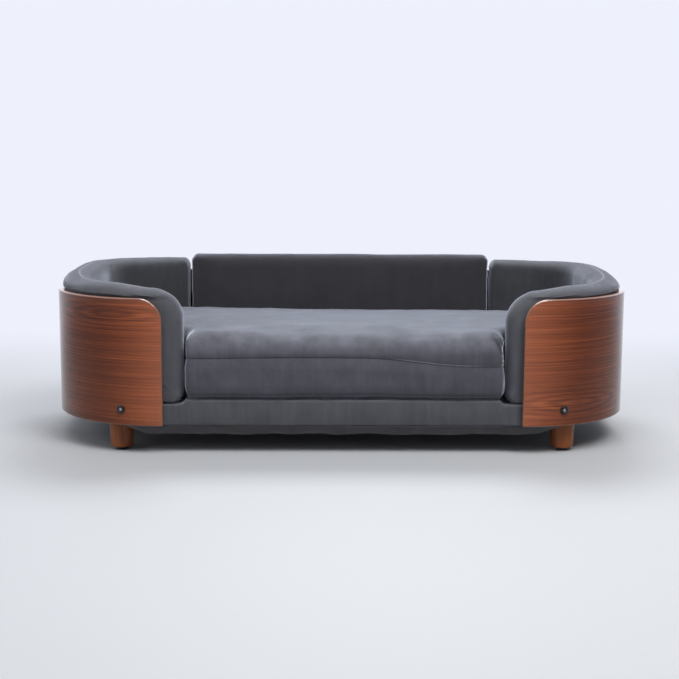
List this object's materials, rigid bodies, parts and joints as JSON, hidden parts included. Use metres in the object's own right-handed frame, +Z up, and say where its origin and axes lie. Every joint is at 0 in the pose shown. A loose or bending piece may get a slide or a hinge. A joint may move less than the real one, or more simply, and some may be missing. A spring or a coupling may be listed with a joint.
{
  "type": "dog bed with frame",
  "caption": "Low pet sofa with curved walnut-veneer side panels, standing corner bolsters, a back bolster and a loose seat cushion on short turned legs.",
  "frame": {"origin": "on the floor, under the middle of the whole object's footprint", "axes": "+X along the length to the right as seen from the front, -Y out of the open front, +Z up"},
  "size_m": [1, 0.52, 0.2955],
  "materials": {
    "walnut": "gloss lacquer",
    "leg_wood": "satin lacquer",
    "timber": "sawn",
    "plain_ply": "sanded",
    "velvet": "short pile",
    "dust_cloth": "thin non-woven",
    "foam": "open-cell foam",
    "black_metal": "black oxide",
    "glide_plastic": "moulded",
    "zinc_steel": "zinc plated",
    "tape": "woven tape"
  },
  "bodies": {
    "frame": {"back_panel": "walnut", "base_cover": "velvet", "base_pad": "foam", "cross_slat_left": "timber", "cross_slat_middle": "timber", "cross_slat_right": "timber", "deck_board": "plain_ply", "dust_cover": "dust_cloth", "end_rib_left": "timber", "end_rib_right": "timber", "front_rail": "timber", "glide_front_left": "glide_plastic", "glide_front_right": "glide_plastic", "glide_rear_left": "glide_plastic", "glide_rear_right": "glide_plastic", "hook_strip_back": "tape", "hook_strip_left": "tape", "hook_strip_right": "tape", "joining_plate_left": "zinc_steel", "joining_plate_right": "zinc_steel", "leg_bolt_front_left": "zinc_steel", "leg_bolt_front_right": "zinc_steel", "leg_bolt_rear_left": "zinc_steel", "leg_bolt_rear_right": "zinc_steel", "leg_front_left": "leg_wood", "leg_front_right": "leg_wood", "leg_rear_left": "leg_wood", "leg_rear_right": "leg_wood", "panel_bolt_back_left": "black_metal", "panel_bolt_back_right": "black_metal", "panel_bolt_front_left": "black_metal", "panel_bolt_front_right": "black_metal", "panel_bolt_rear_left": "black_metal", "panel_bolt_rear_right": "black_metal", "panel_insert_back_left": "zinc_steel", "panel_insert_back_right": "zinc_steel", "panel_insert_front_left": "zinc_steel", "panel_insert_front_right": "zinc_steel", "panel_insert_rear_left": "zinc_steel", "panel_insert_rear_right": "zinc_steel", "rear_rail": "timber", "side_panel_left": "walnut", "side_panel_right": "walnut", "tee_nut_front_left": "zinc_steel", "tee_nut_front_right": "zinc_steel", "tee_nut_rear_left": "zinc_steel", "tee_nut_rear_right": "zinc_steel"},
    "left_bolster": {"left_bolster_board": "plain_ply", "left_bolster_cover": "velvet", "left_bolster_foam": "foam"},
    "right_bolster": {"right_bolster_board": "plain_ply", "right_bolster_cover": "velvet", "right_bolster_foam": "foam"},
    "back_bolster": {"back_bolster_board": "plain_ply", "back_bolster_cover": "velvet", "back_bolster_foam": "foam"},
    "seat": {"seat_cover": "velvet", "seat_foam": "foam", "zip_chain": "tape"},
    "zip_slider": {"zip_slider": "black_metal"}
  },
  "joints": [
    {"name": "seat_lift", "type": "slide", "parent": "frame", "child": "seat", "axis": [0, 0, 1], "range_m": [0, 0.25]},
    {"name": "left_bolster_lift", "type": "slide", "parent": "frame", "child": "left_bolster", "axis": [0, 0, 1], "range_m": [0, 0.25]},
    {"name": "right_bolster_lift", "type": "slide", "parent": "frame", "child": "right_bolster", "axis": [0, 0, 1], "range_m": [0, 0.25]},
    {"name": "back_bolster_lift", "type": "slide", "parent": "frame", "child": "back_bolster", "axis": [0, 0, 1], "range_m": [0, 0.25]},
    {"name": "zip_slide", "type": "slide", "parent": "seat", "child": "zip_slider", "axis": [1, 0, 0], "range_m": [-0.306, 0]}
  ]
}
